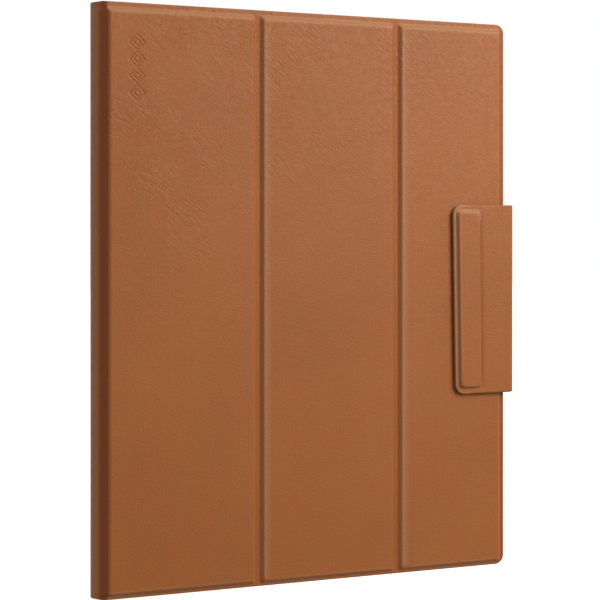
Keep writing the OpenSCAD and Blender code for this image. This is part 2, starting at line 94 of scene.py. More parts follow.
def span(node):
    """Lowest and highest u, v and z of a CAD node, in millimetres."""
    low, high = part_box(node)
    return np.array([low.x - LEFT, high.x - LEFT, BACK - high.y, BACK - low.y, low.z, high.z]) / MM


cover_w = span("panel_3_leather")[1]
cover_h = span("panel_3_leather")[5]
front_in = span("panel_3_leather")[2]
base_v = span("front_fold")[3]
panel_v = span("panel_1_leather")[3]
leather_t = base_v - span("panel_1_lining")[3]
lining_t = span("panel_1_lining")[3] - front_in
print(f"cover {cover_w:.1f} x {cover_h:.1f} mm, folds at {base_v:.1f}, panels at {panel_v:.1f}")

# %% [markdown]
# ## Camera
# A long lens stands well back and a little to the left, level with the upper half of the cover. A
# level camera keeps upright edges upright; the small shift moves the picture without tilting it.

# %% Camera


def put(name, data):
    """Makes an object of some data and puts it in the scene."""
    made = bpy.data.objects.new(name, data)
    bpy.context.scene.collection.objects.link(made)
    return made


camera_data = bpy.data.cameras.new("camera")
camera_data.lens = 101.7
camera_data.shift_y = -0.1027
camera = put("camera", camera_data)
camera.location = (-0.3072, -0.6515, 0.1449)
camera.rotation_euler = (math.radians(90), 0, math.radians(-24.77))
bpy.context.scene.camera = camera
bpy.context.scene.view_settings.view_transform = "Standard"
print("camera", tuple(round(c, 3) for c in camera.location))

# %% [markdown]
# ## Floor and light
# The set is a plain white floor under a pale sky. Matte leather wants one big soft light: here a
# softbox high at the right, so that everything facing left falls into shade. The sky is darker at
# the front left, as if a black card stood there, which draws the spine and the grooves.

# %% Floor and light


def node_input(node, name, value):
    """Sets one input of a shader or geometry node by its name."""
    node.inputs[name].default_value = value
    return node


def feed(tree, socket, value):
    """Wires another socket into this one, or gives it a value."""
    if isinstance(value, bpy.types.NodeSocket):
        tree.links.new(value, socket)
    else:
        socket.default_value = value


world = bpy.data.worlds.new("studio")
bpy.context.scene.world = world
world.use_nodes = True
sky = world.node_tree.nodes
wires = world.node_tree.links
sky.clear()
where = sky.new("ShaderNodeTexCoord")
toward = sky.new("ShaderNodeVectorMath")
toward.operation = "DOT_PRODUCT"
bright_side = (0.35, 0.75, 0.56)
toward.inputs[1].default_value = bright_side
wires.new(where.outputs["Generated"], toward.inputs[0])
fade = sky.new("ShaderNodeMapRange")
fade.interpolation_type = "SMOOTHSTEP"
for name, value in {"From Min": -0.65, "From Max": 0.2, "To Min": 0.31, "To Max": 0.90}.items():
    node_input(fade, name, value)
wires.new(toward.outputs["Value"], fade.inputs["Value"])
glow = node_input(sky.new("ShaderNodeBackground"), "Color", (1.0, 1.0, 1.0, 1))
wires.new(fade.outputs["Result"], glow.inputs["Strength"])
backdrop = node_input(sky.new("ShaderNodeBackground"), "Color", (1.0, 1.0, 1.0, 1))
seen = sky.new("ShaderNodeLightPath").outputs["Is Camera Ray"]
either = sky.new("ShaderNodeMixShader")
for output, slot in ((seen, 0), (glow.outputs[0], 1), (backdrop.outputs[0], 2)):
    wires.new(output, either.inputs[slot])
wires.new(either.outputs[0], sky.new("ShaderNodeOutputWorld").inputs["Surface"])


def softbox(name, place, target, size, power, colour):
    """A square area light at one place that faces another."""
    data = bpy.data.lights.new(name, "AREA")
    data.size, data.energy, data.color = size, power, colour
    light = put(name, data)
    light.location = place
    light.rotation_euler = (Vector(target) - Vector(place)).to_track_quat("-Z", "Y").to_euler()


softbox("key", place=(0.45, -0.58, 0.50), target=(0.03, 0, 0.14), size=0.45, power=5.7,
        colour=(1.0, 0.99, 0.97))

floor_mesh = bpy.data.meshes.new("floor")
reach = 4.0
floor_corners = [(x * reach, y * reach, 0) for x, y in ((-1, -1), (1, -1), (1, 1), (-1, 1))]
floor_mesh.from_pydata(floor_corners, [], [(0, 1, 2, 3)])
floor = put("floor", floor_mesh)
floor.visible_diffuse = floor.visible_glossy = False
print("floor", 2 * reach, "m square, one softbox")

# %% [markdown]
# ## A small kit for materials
# Each finish is a node tree around one Principled shader. The helpers below add nodes in one line
# each and wire them, so that a finish reads as a recipe: where the pattern sits, which pattern it is,
# and which socket it feeds. Patterns use Object coordinates, which are metres on this object.

# %% Material helpers


class Finish:
    """One material: its shader, and helpers that add pattern nodes to it."""

    def __init__(self, name, colour, roughness, metallic=0.0, specular=0.5):
        self.material = bpy.data.materials.new(name)
        self.material.use_nodes = True
        self.tree = self.material.node_tree
        self.shader = self.tree.nodes["Principled BSDF"]
        node_input(self.shader, "Base Color", (*colour, 1))
        node_input(self.shader, "Roughness", roughness)
        node_input(self.shader, "Metallic", metallic)
        node_input(self.shader, "Specular IOR Level", specular)
        self.place = self.tree.nodes.new("ShaderNodeTexCoord").outputs["Object"]

    def add(self, kind, **inputs):
        """Adds a node; an input is a value, or an output to wire in."""
        node = self.tree.nodes.new("ShaderNode" + kind)
        for name, value in inputs.items():
            feed(self.tree, node.inputs[name.replace("_", " ")], value)
        return node

    def sum(self, operation, first, second=0.0, third=0.0):
        """A math node, by the name of what it works out."""
        node = self.tree.nodes.new("ShaderNodeMath")
        node.operation = operation
        for socket, value in zip(node.inputs, (first, second, third)):
            feed(self.tree, socket, value)
        return node.outputs[0]

    def stretched(self, turn, scale):
        """Object coordinates turned about the cover's thickness and then scaled."""
        turned = self.add("Mapping", Vector=self.place, Rotation=(0, turn, 0))
        return self.add("Mapping", Vector=turned.outputs[0], Scale=scale).outputs[0]

    def noise(self, scale, detail=2.0, roughness=0.5, place=None):
        node = self.add("TexNoise", Vector=place or self.place, Scale=scale, Detail=detail,
                        Roughness=roughness)
        return node.outputs["Fac"]

    def cells(self, scale):
        return self.add("TexVoronoi", Vector=self.place, Scale=scale).outputs["Distance"]

    def amount(self, name, strength):
        """An amount that the mesh carries on its points, times a strength."""
        node = self.add("Attribute")
        node.attribute_name = name
        return self.sum("MULTIPLY", node.outputs["Fac"], strength)

    def ramp(self, source, low, high, out_low=0.0, out_high=1.0):
        """A smooth step: below low gives out_low, above high gives out_high."""
        node = self.add("MapRange", Value=source, From_Min=low, From_Max=high, To_Min=out_low,
                        To_Max=out_high)
        node.interpolation_type = "SMOOTHSTEP"
        return node.outputs["Result"]

    def blend(self, factor, first, second):
        """A colour between two colours, each a value or an output."""
        node = self.tree.nodes.new("ShaderNodeMix")
        node.data_type = "RGBA"
        self.tree.links.new(factor, node.inputs[0])
        for socket, value in ((node.inputs[6], first), (node.inputs[7], second)):
            feed(self.tree, socket, (*value, 1) if isinstance(value, tuple) else value)
        return node.outputs[2]

    def colour(self, source):
        self.tree.links.new(source, self.shader.inputs["Base Color"])

    def rough(self, source):
        self.tree.links.new(source, self.shader.inputs["Roughness"])

    def relief(self, height, depth):
        """Bump: height from 0 to 1 stands for that depth, in metres."""
        bump = self.add("Bump", Height=height, Distance=depth, Strength=1.0)
        self.tree.links.new(bump.outputs[0], self.shader.inputs["Normal"])


def speckled(name, colour, roughness, grain, depth, vary, metallic=0.0):
    """A plain finish with a fine grain of some depth and a little drift in its colour."""
    finish = Finish(name, colour, roughness, metallic)
    dark = tuple(c * (1 - vary) for c in colour)
    light = tuple(min(1.0, c * (1 + vary)) for c in colour)
    finish.colour(finish.blend(finish.noise(60.0, 3.0), dark, light))
    patchy = finish.noise(220.0, 3.0)
    finish.rough(finish.ramp(patchy, 0.3, 0.7, roughness - 0.05, roughness + 0.05))
    finish.relief(finish.noise(grain, 2.0, 0.6), depth)
    return finish.material


paper = speckled("studio_floor", (0.9, 0.9, 0.9), 0.85, 300.0, 0.0001, 0.01)
paper_shader = paper.node_tree.nodes["Principled BSDF"]
node_input(paper_shader, "Emission Color", (1, 1, 1, 1))
node_input(paper_shader, "Emission Strength", 0.55)
floor_mesh.materials.append(paper)
print("material kit ready")

# %% [markdown]
# ## Leather
# Cover leather is split thin, dyed brown, coated matte and rolled with a fine grain. From near it
# shows three scales: pebbles under a millimetre, soft wrinkles that run in slanting patches where
# the hide has stretched, and slow drifts of tone. Painted shade darkens the feet of bevels, creases
# and edges turned from the light, and painted light makes paler the bevels and edges that catch it.
# Those amounts come from the mesh, as attributes, so they follow each piece's own edges.

# %% Leather


def leather_finish(name):
    """Matte grained leather: drift of tone, pebbled grain, short wrinkles, painted shade and painted
    light.
    """
    brown = (0.334, 0.101, 0.0165)
    finish = Finish(name, brown, 0.55, specular=0.38)

    def tint(red, green, blue):
        return brown[0] * red, brown[1] * green, brown[2] * blue

    drift = finish.ramp(finish.noise(14.0, 3.0, 0.55), 0.3, 0.7)
    tan = finish.blend(drift, tint(0.93, 0.93, 0.93), tint(1.05, 1.07, 1.12))
    warm = finish.ramp(finish.noise(95.0, 2.0), 0.35, 0.65, 0.0, 0.5)
    tan = finish.blend(warm, tan, tint(1.06, 0.92, 0.90))
    fine = finish.noise(520.0, 3.0, 0.6)
    in_pores = finish.ramp(fine, 0.35, 0.65, 0.0, 0.06)
    tan = finish.blend(in_pores, tan, tint(0.62, 0.62, 0.62))
    # Painted shade: a darker, redder brown where the mesh carries it, at bevels' feet, creases and
    # turned edges.
    tan = finish.blend(finish.amount("painted_shade", 0.9), tan, tint(0.60, 0.38, 0.03))
    # Painted light: a paler tan where the mesh carries it, on bevels and edges that catch the light.
    finish.colour(finish.blend(finish.amount("painted_light", 0.7), tan, tint(1.18, 1.75, 4.5)))

    # Two families of wrinkles cross the hide, each in its own patches, most at the upper left.
    slant = finish.noise(1.0, 3.0, 0.6, finish.stretched(math.radians(38), (260, 260, 780)))
    cross = finish.noise(1.0, 3.0, 0.6, finish.stretched(math.radians(-42), (270, 270, 820)))
    patch = finish.ramp(finish.noise(40.0, 1.0), 0.44, 0.56)
    wrinkle = finish.sum("ADD", finish.sum("MULTIPLY", slant, patch),
                         finish.sum("MULTIPLY", cross, finish.sum("SUBTRACT", 1.0, patch)))
    across = finish.add("SeparateXYZ", Vector=finish.place).outputs
    corner = finish.sum("MULTIPLY_ADD", across["X"], -0.5, across["Z"])
    upper = finish.ramp(corner, 0.13, 0.27, 0.05, 1.0)
    strength = finish.ramp(finish.noise(26.0, 2.0), 0.40, 0.62, 0.15, 1.0)
    wrinkle = finish.sum("MULTIPLY", finish.sum("MULTIPLY", wrinkle, strength), upper)
    finish.rough(finish.ramp(fine, 0.3, 0.7, 0.5, 0.62))
    pebble = finish.sum("MULTIPLY", finish.cells(1500.0), 0.35)
    grain = finish.sum("ADD", finish.sum("MULTIPLY", fine, 0.26), pebble)
    finish.relief(finish.sum("ADD", finish.sum("MULTIPLY", wrinkle, 3.0), grain), 0.00018)
    return finish.material


leather = leather_finish("leather")
print("leather nodes:", len(leather.node_tree.nodes))

# %% [markdown]
# ## Lining
# The inside is a short-napped charcoal microfibre, soft enough to leave no scratch on the glass. A
# nap scatters light at its edges, which the sheen gives, and it looks slightly blotched where it
# has been stroked one way or the other.

# %% Lining
nap = Finish("lining", (0.040, 0.037, 0.035), 0.9, specular=0.2)
node_input(nap.shader, "Sheen Weight", 0.35)
node_input(nap.shader, "Sheen Roughness", 0.5)
stroked = nap.noise(1.0, 2.0, 0.5, nap.stretched(math.radians(70), (25, 25, 110)))
darker, lighter = (0.034, 0.031, 0.029), (0.050, 0.046, 0.043)
nap.colour(nap.blend(nap.ramp(stroked, 0.35, 0.65), darker, lighter))
nap.relief(nap.noise(2600.0, 2.0, 0.7), 0.00008)
lining = nap.material
print("lining ready")

# %% [markdown]
# ## A closed skin
# Every leather piece here is a skin between two grids of points: the outer face and the inner
# face. Joining their four borders with two rows of faces closes it, so it has a real thickness and
# can be printed. The row between them lets a piece carry leather outside and lining inside.

# %% Closed skins
hard_corner = math.radians(38)
closest_lines = 0.015


def show(name, mesh):
    """Puts a mesh in the scene, smooth but with its hard corners kept."""
    mesh.shade_smooth()
    mesh.set_sharp_from_angle(angle=hard_corner)
    return put(name, mesh)


def border(n, m):
    """Numbers of a grid's border points, once round."""
    around = [(i, 0) for i in range(n)] + [(n - 1, j) for j in range(1, m)]
    around += [(i, m - 1) for i in range(n - 2, -1, -1)] + [(0, j) for j in range(m - 2, 0, -1)]
    return np.array([i * m + j for i, j in around])


def skin(name, outer, inner, outside, inside=None, split=0.5):
    """A closed mesh between two grids of points; the inner part may have its own material."""
    n, m = outer.shape[:2]
    flat_outer, flat_inner = outer.reshape(-1, 3), inner.reshape(-1, 3)
    edge = border(n, m)
    middle = flat_outer[edge] * (1 - split) + flat_inner[edge] * split
    points = np.concatenate([flat_outer, flat_inner, middle])
    corner = (np.arange(n - 1)[:, None] * m + np.arange(m - 1)[None, :]).ravel()
    top = np.stack([corner, corner + 1, corner + m + 1, corner + m], axis=1)
    under = top[:, ::-1] + n * m
    count = len(edge)
    here, after = np.arange(count), (np.arange(count) + 1) % count
    ring = 2 * n * m + here
    ring_after = 2 * n * m + after
    side = np.stack([edge[here], edge[after], ring_after, ring], axis=1)
    low_side = np.stack([ring, ring_after, edge[after] + n * m, edge[here] + n * m], axis=1)
    faces = np.concatenate([top, side, low_side, under])
    mesh = bpy.data.meshes.new(name)
    mesh.from_pydata(points.tolist(), [], faces.tolist())
    start, second, third = points[faces[0][:3]]
    if np.dot(np.cross(second - start, third - start), flat_outer[0] - flat_inner[0]) < 0:
        mesh.flip_normals()
    mesh.materials.append(outside)
    if inside:
        mesh.materials.append(inside)
        number = np.zeros(len(faces), np.int32)
        number[len(top) + len(side):] = 1
        mesh.polygons.foreach_set("material_index", number)
    lift = mesh.attributes.new("skin", "FLOAT", "POINT")
    lift.data.foreach_set("value", (np.arange(len(points)) < n * m).astype(np.float32))
    mesh.validate()
    return mesh


def rounding(inside, radius):
    """How far a face drops at a distance inside its outline, for a quarter-round edge."""
    d = np.clip(inside, 0, radius)
    return radius - np.sqrt(np.maximum(radius**2 - (radius - d) ** 2, 0))


def spread(start, end, step, edge=None, fine=()):
    """Grid lines from start to end, closer at a rounded edge and inside each (from, to, step)."""
    lines = list(np.linspace(start, end, max(2, int(round((end - start) / step)) + 1)))
    if edge:
        steps = edge * (1 - np.cos(np.radians([15, 30, 45, 60, 75, 90])))
        lines += list(start + steps) + list(end - steps)
    for low, high, small in fine:
        lines = [x for x in lines if not (low < x < high)]
        lines += list(np.linspace(low, high, max(2, int(round((high - low) / small)) + 1)))
    lines = sorted(x for x in lines if start - 1e-9 <= x <= end + 1e-9)
    kept = [lines[0]]
    for x in lines[1:]:
        if x - kept[-1] > closest_lines:
            kept.append(x)
    kept[-1] = end
    return np.array(kept)


print("skin kit ready")

# %% [markdown]
# ## Leather pressed over a board
# Each front panel is a board under leather. The maker wets the skin, lays it over the board and
# presses it down all round with a bone tool, so it rises by the board's thickness over a short bevel.
# That is a rule, so a Geometry Nodes tree makes it: the distance to the board's rounded outline
# decides how far each point of the outer skin is lifted. Its inputs are the raised field's four
# sides, the rise, the bevel, the corner, how much painted shade lies along the foot and how much
# painted light lies on the left bevel. It also writes the painted shade along the foot and painted
# light lines along the middle of the bevels, most of all the top one. Lengths in the tree are metres.

# %% The press tree
# Painted shade along each bevel's foot, and painted light along the bevels at the ends, most at the
# top.
foot_shift, foot_spread, end_fade = 0.0002, 0.0008, 0.004
top_bevel_light, bottom_bevel_light = 1.0, 0.4

press = bpy.data.node_groups.new("press_over_board", "GeometryNodeTree")
sockets = {}
for label in ("Geometry", "Left", "Right", "Bottom", "Top", "Rise", "Bevel", "Corner", "Ironed",
              "Side wear", "Outward", "Material"):
    kind = {"Geometry": "Geometry", "Outward": "Vector", "Material": "Material"}.get(label, "Float")
    sockets[label] = press.interface.new_socket(label, in_out="INPUT",
                                                socket_type="NodeSocket" + kind)
press.interface.new_socket("Geometry", in_out="OUTPUT", socket_type="NodeSocketGeometry")
source = press.nodes.new("NodeGroupInput").outputs


def press_node(kind, *wired, **settings):
    """A node of the press tree; wired fills its inputs in order, skipping None."""
    node = press.nodes.new(kind)
    for key, value in settings.items():
        setattr(node, key, value)
    for socket, value in zip(node.inputs, wired):
        if value is not None:
            feed(press, socket, value)
    return node.outputs[0]


def press_sum(operation, *terms):
    """A math node, by the name of what it works out."""
    return press_node("ShaderNodeMath", *terms, operation=operation)


apart = press.nodes.new("ShaderNodeSeparateXYZ")
press.links.new(press_node("GeometryNodeInputPosition"), apart.inputs[0])
across, up = apart.outputs["X"], apart.outputs["Z"]
left_gap = press_sum("SUBTRACT", across, source["Left"])
side_gap = press_sum("MINIMUM", left_gap, press_sum("SUBTRACT", source["Right"], across))
top_gap = press_sum("SUBTRACT", source["Top"], up)
bottom_gap = press_sum("SUBTRACT", up, source["Bottom"])
end_gap = press_sum("MINIMUM", bottom_gap, top_gap)
inside_board = press_sum("SMOOTH_MIN", side_gap, end_gap, source["Corner"])


def press_ramp(value, low, high, out_low, out_high):
    """A smooth step from one amount to another."""
    return press_node("ShaderNodeMapRange", value, low, high, out_low, out_high,
                      interpolation_type="SMOOTHSTEP")


lift = press_ramp(inside_board, 0.0, source["Bevel"], 0.0, source["Rise"])
outer_face = press_node("GeometryNodeInputNamedAttribute", "skin", data_type="FLOAT")
height = press_sum("MULTIPLY", lift, outer_face)
offset = press_node("ShaderNodeVectorMath", source["Outward"], None, None, height,
                    operation="SCALE")
raised = press_node("GeometryNodeSetPosition", source["Geometry"], None, None, offset)
foot = press_ramp(press_sum("ABSOLUTE", press_sum("SUBTRACT", inside_board, foot_shift)),
                  0.0, foot_spread, source["Ironed"], 0.0)
beside = press_ramp(end_gap, 0.0, end_fade, 0.0, 1.0)
half_way = press_sum("MULTIPLY", source["Bevel"], 0.5)
whole_way = press_sum("MULTIPLY", source["Bevel"], 0.8)


def press_light_line(gap, amount):
    """A painted light line along the middle of one bevel."""
    off_middle = press_sum("ABSOLUTE", press_sum("SUBTRACT", gap, half_way))
    return press_ramp(off_middle, half_way, whole_way, amount, 0.0)


lit_ends = press_sum("MAXIMUM", press_light_line(top_gap, top_bevel_light),
                      press_light_line(bottom_gap, bottom_bevel_light))
past_side = press_ramp(side_gap, 0.0, source["Bevel"], 0.0, 1.0)
lit_ends = press_sum("MULTIPLY", lit_ends, past_side)
lit_left = press_sum("MULTIPLY", press_light_line(left_gap, source["Side wear"]), beside)
light_lines = press_sum("MAXIMUM", lit_ends, lit_left)


def press_store(geometry, name, value):
    """Writes a named amount on the outer face of the piece."""
    node = press.nodes.new("GeometryNodeStoreNamedAttribute")
    node.data_type, node.domain = "FLOAT", "POINT"
    node_input(node, "Name", name)
    press.links.new(geometry, node.inputs["Geometry"])
    press.links.new(press_sum("MULTIPLY", value, outer_face), node.inputs["Value"])
    return node.outputs[0]


# Painted shade along the foot and painted light lines on the bevels, on the outer face only.
foot_shaded = press_store(raised, "painted_shade", press_sum("MULTIPLY", foot, beside))
realized = press_node("GeometryNodeRealizeInstances", press_store(foot_shaded, "painted_light", light_lines))
painted = press.nodes.new("GeometryNodeSetMaterial")
press.links.new(realized, painted.inputs["Geometry"])
press.links.new(source["Material"], painted.inputs["Material"])
press.links.new(painted.outputs[0], press.nodes.new("NodeGroupOutput").inputs[0])
print("press tree:", len(press.nodes), "nodes")


def pressed(name, blank, **values):
    """Runs the press tree on a closed blank and keeps the result as a plain mesh."""
    stand_in = put(name + "_blank", blank)
    modifier = stand_in.modifiers.new("press", "NODES")
    modifier.node_group = press
    for label, value in values.items():
        modifier[sockets[label.replace("_", " ")].identifier] = value
    shaped = stand_in.evaluated_get(bpy.context.evaluated_depsgraph_get())
    mesh = bpy.data.meshes.new_from_object(shaped)
    bpy.data.objects.remove(stand_in)
    mesh.name = name
    return mesh


# %% [markdown]
# ## Where the panels rise
# Each panel's raised field starts a little inside the folds beside it, and inside a flat rim at the
# cover's two ends. The rim is wider at the top than at the foot, where the cover stands on it. Grid
# lines lie close together across the bevels and far apart on the flat.

# %% Where the panels rise
rim_top, rim_foot = 2.2, 0.9
foot_gap, bevel = 2.0, 1.9
fine_step, wall = 0.15, 0.02
end_fine = [(rim_foot, rim_foot + bevel + 0.1, fine_step),
            (cover_h - rim_top - bevel - 0.1, cover_h - rim_top, fine_step)]


def smooth(share):
    """A smooth step from 0 to 1."""
    share = np.clip(share, 0, 1)
    return share * share * (3 - 2 * share)


def raised_share(z):
    """0 on the flat rim at the cover's ends, 1 where the panel stands at its full height."""
    return smooth(np.minimum(z - rim_foot, cover_h - rim_top - z) / bevel)


def walls(*edges):
    """Two grid lines hard beside each edge, so that a pocket's wall is nearly upright."""
    return [edge + side for edge in edges for side in (-wall, wall)]


print("bevels", bevel, "mm wide, rims", rim_foot, "and", rim_top, "mm")

# %% [markdown]
# ## The pressed motif
# A blind-stamped mark sits near the top of the first panel: a chain of four lozenges, each with a
# smaller one inside. A stamp pushes narrow channels into the leather, so the mark is a depth that is
# taken from the skin: a smooth groove along the outline of each lozenge.

# %% The motif's channels
leaf_w, leaf_h, leaf_count = 7.0, 6.8, 4
motif_u, motif_top = 11.6, cover_h - 12.7
motif_h = leaf_h * leaf_count
channel_half, channel_depth = 0.48, 0.2
ring_sizes = (0.94, 0.42)
motif_room, motif_step = 0.6, 0.17


def rounded_box(u, z, mid_u, mid_z, half_w, half_h, radius):
    """Distance to a rounded rectangle: below zero inside it."""
    a = np.abs(u - mid_u) - half_w + radius
    b = np.abs(z - mid_z) - half_h + radius
    return np.hypot(np.maximum(a, 0), np.maximum(b, 0)) + np.minimum(np.maximum(a, b), 0) - radius


def motif_depth(u, z):
    """How deep the stamp goes at each point, in millimetres."""
    nearest = np.full(np.broadcast(u, z).shape, cover_h)
    across = 1 / math.hypot(2 / leaf_w, 2 / leaf_h)
    for leaf in range(leaf_count):
        a = np.abs(u - motif_u - leaf_w / 2) / (leaf_w / 2)
        b = np.abs(z - motif_top + (leaf + 0.5) * leaf_h) / (leaf_h / 2)
        for size in ring_sizes:
            nearest = np.minimum(nearest, np.abs(a + b - size) * across)
    return channel_depth * smooth(1 - nearest / channel_half)


print("motif", leaf_w, "by", motif_h, "mm")

# %% [markdown]
# ## The spine's line
# Shut, the leather goes round the spine in one soft curve: flat on the back, fullest at the middle of
# the thickness, then a slanting shoulder that meets the first panel. A few corners with their points
# rounded off draw that line. At the rim it has less far to rise, so there are two such lines, and
# the pieces that follow them mix the two by height.

# %% The spine's line
shoulder = 1.3
fold_r = span("spine_leather")[2]
edge_u = span("back_leather")[0]
spine_mid = base_v / 2
spine_swell = 1.5


def softened(corners, cuts, count=12):
    """A (u, v) line through corners, each rounded from its cut length before to that after it."""
    corners = np.array(corners, float)
    line = [corners[:1]]
    share = np.linspace(0, 1, count)[:, None]
    for before, corner, after, cut in zip(corners, corners[1:], corners[2:], cuts):
        start, end = (corner + (other - corner) * cut / np.linalg.norm(other - corner)
                      for other in (before, after))
        bend = (1 - share) ** 2 * start + 2 * share * (1 - share) * corner + share**2 * end
        line.append(bend)
    return np.concatenate(line + [corners[-1:]])


def spine_line(top_u, top_v, brow_u, brow_v):
    """From the back board's edge round to the front; the brow is where it turns forward."""
    corners = [(edge_u, 0), (0.6, 0), (-spine_swell, 2.6), (-spine_swell, 5.2), (brow_u, brow_v),
               (top_u - shoulder / 2, top_v), (top_u, top_v)]
    return softened(corners, (1.4, 1.4, 1.2, 1.3, shoulder / 2))


full_line = spine_line(edge_u + shoulder, panel_v, 0.0, 9.2)
rim_line = spine_line(edge_u, base_v, 0.2, 8.8)


def spine_u(line, v):
    """How far along u a spine line lies at a place through the cover."""
    return np.interp(v, line[:, 1], line[:, 0])


def spine_v(line, u):
    """Where through the cover the front half of a spine line lies, at a place along u."""
    front = line[line[:, 1] > spine_mid]
    return np.interp(u, front[:, 0], front[:, 1])


print(f"spine swells to u {-spine_swell} and meets panel 1 at v {spine_v(full_line, edge_u):.2f}")

# %% [markdown]
# ## Front panels
# Three panels share one pattern: a thin base that reaches to the folds, with the raised field on it.
# The panel at the free edge has rounded corners, and its base is turned in and rolled over on
# three sides. Behind each, the skin opens into a pocket that holds its board and its lining.

# %% Front panels
roll_out, roll_in = 0.55, 0.45
cover_r = 4.0
far = 60.0
grid_step = 5.0


def corner_steps(radius):
    """Distances from a rounded edge that fall evenly round its arc."""
    return radius * (1 - np.cos(np.radians(np.arange(0, 91, 7.5))))


def round_corners(u, z, edge, side, z0, z1, radius):
    """Bends a grid's two corners at one edge into arcs; side is 1 at the right, -1 at the left."""
    centre_u = edge - side * radius
    for centre_z, sign in ((z0 + radius, -1), (z1 - radius, 1)):
        a = side * (u - centre_u) / radius
        b = sign * (z - centre_z) / radius
        here = (a > 0) & (b > 0)
        far_out = np.maximum(a, b)
        eighths = np.where(a >= b, b / np.maximum(a, 1e-9), 2 - a / np.maximum(b, 1e-9))
        angle = eighths * math.pi / 4
        u = np.where(here, centre_u + side * radius * far_out * np.cos(angle), u)
        z = np.where(here, centre_z + sign * radius * far_out * np.sin(angle), z)
    return u, z


def mark(mesh, name, amount):
    """Raises a named amount on a mesh's points, where the new amount is the larger."""
    values = np.zeros(len(mesh.vertices))
    layer = mesh.attributes.get(name) or mesh.attributes.new(name, "FLOAT", "POINT")
    layer.data.foreach_get("value", values)
    layer.data.foreach_set("value", np.maximum(values, amount))


def points_of(mesh):
    """The mesh's points as u, v and z in millimetres."""
    points = np.empty(len(mesh.vertices) * 3)
    mesh.vertices.foreach_get("co", points)
    x, y, z = points.reshape(-1, 3).T
    return (x - LEFT) / MM, (BACK - y) / MM, z / MM


def panel_skin(number, motif=False):
    """The leather of one front panel, pressed over its board."""
    u0, u1, _, _, z0, z1 = span(f"panel_{number}_leather")
    board = span(f"panel_{number}_board")
    lined = span(f"panel_{number}_lining")
    free = number == 3
    foot_u0 = board[0] - foot_gap - (far if number == 1 else 0.0)
    foot_u1 = board[1] + foot_gap
    fine_u = [(foot_u0, foot_u0 + bevel + 0.1, fine_step),
              (foot_u1 - bevel - 0.1, foot_u1, fine_step)]
    if number == 1:
        fine_u.append((u0, u0 + shoulder, 0.12))
    fine_z = list(end_fine)
    if motif:
        fine_u.append((motif_u - motif_room, motif_u + leaf_w + motif_room, motif_step))
        fine_z.append((motif_top - motif_h - motif_room, motif_top + motif_room, motif_step))
    us = spread(u0, u1, grid_step, None, fine_u)
    if free:
        us = np.concatenate([us[us < u1 - cover_r], u1 - corner_steps(cover_r)])
    zs = spread(z0, z1, grid_step, roll_out, fine_z)
    us = np.concatenate([us, walls(*board[:2], *lined[:2])])
    zs = np.concatenate([zs, walls(*board[4:], *lined[4:])])
    us = np.unique(np.round(us[(us >= u0 - 1e-6) & (us <= u1 + 1e-6)], 4))
    zs = np.unique(np.round(zs[(zs >= z0) & (zs <= z1)], 4))
    us[0], us[-1] = u0, u1
    u, z = np.meshgrid(us, zs, indexing="ij")
    in_board = np.minimum(np.minimum(u - board[0], board[1] - u),
                          np.minimum(z - board[4], board[5] - z))
    lined_right = lined[1] if free else far + u1
    in_lined = np.minimum(lined_right - u, np.minimum(z - lined[4], lined[5] - z))
    if free:
        u, z = round_corners(u, z, u1, 1, 0, cover_h, cover_r)
    right = u1 if free else u1 + far
    inside = -rounded_box(u, z, (u0 - far + right) / 2, cover_h / 2, (right - u0 + far) / 2,
                          cover_h / 2, cover_r if free else 0.001)
    outer_v = base_v - rounding(inside, roll_out)
    if number == 1:
        short = panel_v - spine_v(full_line, u)
        outer_v = outer_v - np.where(u < u0 + shoulder, short, 0) * raised_share(z)
    if motif:
        outer_v = outer_v - motif_depth(u, z)
    inner_v = front_in + rounding(inside, roll_in)
    inner_v = np.maximum(inner_v, front_in + np.where(in_lined > 0, lining_t, 0))
    inner_v = np.maximum(inner_v, np.where(in_board > 0, panel_v - leather_t, 0))
    blank = skin(f"panel_{number}_blank", spot(u, outer_v, z), spot(u, inner_v, z), leather)
    # The press paints shade along the bevels' feet and light on the bevels, most on the left one.
    mesh = pressed(f"panel_{number}_skin", blank, Left=LEFT + foot_u0 * MM,
                   Right=LEFT + foot_u1 * MM, Bottom=rim_foot * MM, Top=(cover_h - rim_top) * MM,
                   Rise=(panel_v - base_v) * MM, Bevel=bevel * MM, Corner=1.6 * MM, Ironed=0.2,
                   Side_wear=0.85, Outward=(0, -1, 0), Material=leather)
    # At the free edge the rolled rim is painted darker: painted shade.
    if free:
        past_bevel = points_of(mesh)[0] - foot_u1 + bevel / 2
        mark(mesh, "painted_shade", 0.6 * smooth(past_bevel / 0.8))
    piece = show(f"panel_{number}_skin", mesh)
    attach(piece, f"front_panel_{number}")
    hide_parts(f"panel_{number}_leather")
    print(piece.name, len(mesh.polygons), "faces")


for number in (1, 2, 3):
    panel_skin(number, motif=number == 1)

# %% [markdown]
# ## Back cover
# The back is one flat board, with the leather drawn over its edge and glued down inside. Its edge is
# rolled, not cut, so it turns over a small radius, and the strap comes out through its free side.

